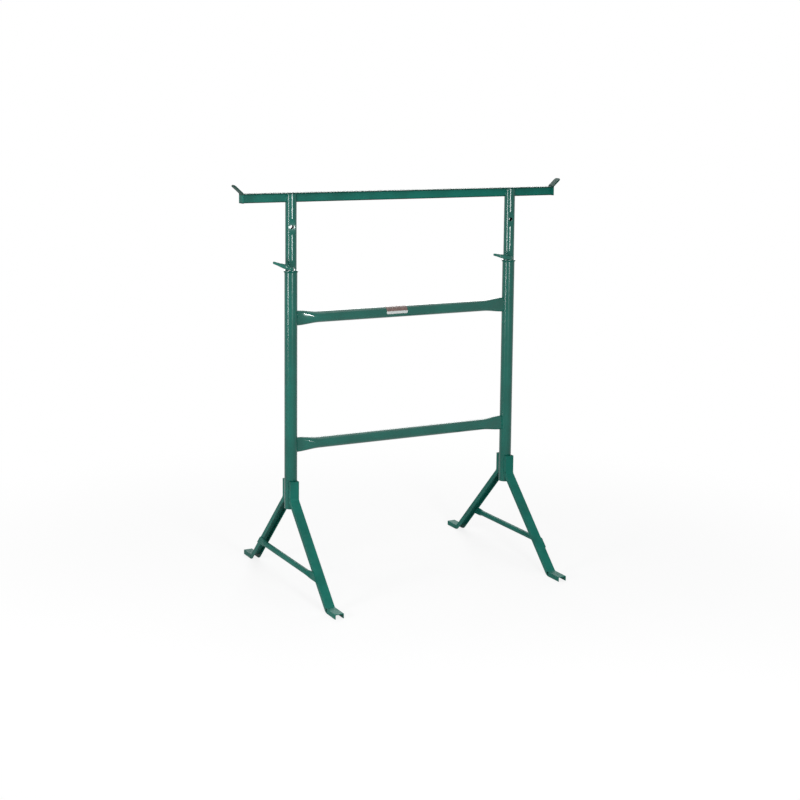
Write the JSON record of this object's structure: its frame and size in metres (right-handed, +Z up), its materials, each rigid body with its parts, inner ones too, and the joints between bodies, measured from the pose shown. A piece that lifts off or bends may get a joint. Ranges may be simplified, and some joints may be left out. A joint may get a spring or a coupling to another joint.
{
  "type": "folding sawhorse",
  "caption": "Height-adjustable steel trestle: T-section bearer on telescoping pinned tubes, a railed frame, and Y-shaped swivel feet that fold flat.",
  "frame": {"origin": "on the floor, midway between the two feet", "axes": "+X along the bearer, -Y towards the side that the pin handles are on, +Z up"},
  "size_m": [1.4044, 0.8568, 1.5174],
  "materials": {
    "green_paint": "gloss green enamel on steel",
    "label_film": "blank two-tone sticker, muted brown over pale grey"
  },
  "bodies": {
    "lower_frame": {"post_left": "green_paint", "post_right": "green_paint", "collar_left": "green_paint", "collar_right": "green_paint", "upper_rail": "green_paint", "lower_rail": "green_paint", "swivel_rivet_left": "green_paint", "swivel_rivet_right": "green_paint", "label": "label_film"},
    "top_frame": {"bearer": "green_paint", "end_stop_left": "green_paint", "end_stop_right": "green_paint", "inner_tube_left": "green_paint", "inner_tube_right": "green_paint"},
    "pin_left": {"locking_pin_left": "green_paint"},
    "pin_right": {"locking_pin_right": "green_paint"},
    "foot_left": {"foot_socket_left": "green_paint", "foot_spigot_left": "green_paint", "front_leg_left": "green_paint", "rear_leg_left": "green_paint", "foot_brace_left": "green_paint"},
    "foot_right": {"foot_socket_right": "green_paint", "foot_spigot_right": "green_paint", "front_leg_right": "green_paint", "rear_leg_right": "green_paint", "foot_brace_right": "green_paint"}
  },
  "joints": [
    {"name": "height_slide", "type": "slide", "parent": "lower_frame", "child": "top_frame", "axis": [0, 0, 1], "range_m": [0, 0.308]},
    {"name": "pin_left_pull", "type": "slide", "parent": "top_frame", "child": "pin_left", "axis": [-0.2079, -0.9781, 0], "range_m": [0, 0.046]},
    {"name": "pin_right_pull", "type": "slide", "parent": "top_frame", "child": "pin_right", "axis": [-0.2079, -0.9781, 0], "range_m": [0, 0.046]},
    {"name": "foot_left_swivel", "type": "hinge", "parent": "lower_frame", "child": "foot_left", "pos_m": [-0.4725, 0, 0.405], "axis": [0, 0, 1], "range_deg": [-90, 0]},
    {"name": "foot_right_swivel", "type": "hinge", "parent": "lower_frame", "child": "foot_right", "pos_m": [0.4725, 0, 0.405], "axis": [0, 0, 1], "range_deg": [0, 90]}
  ]
}
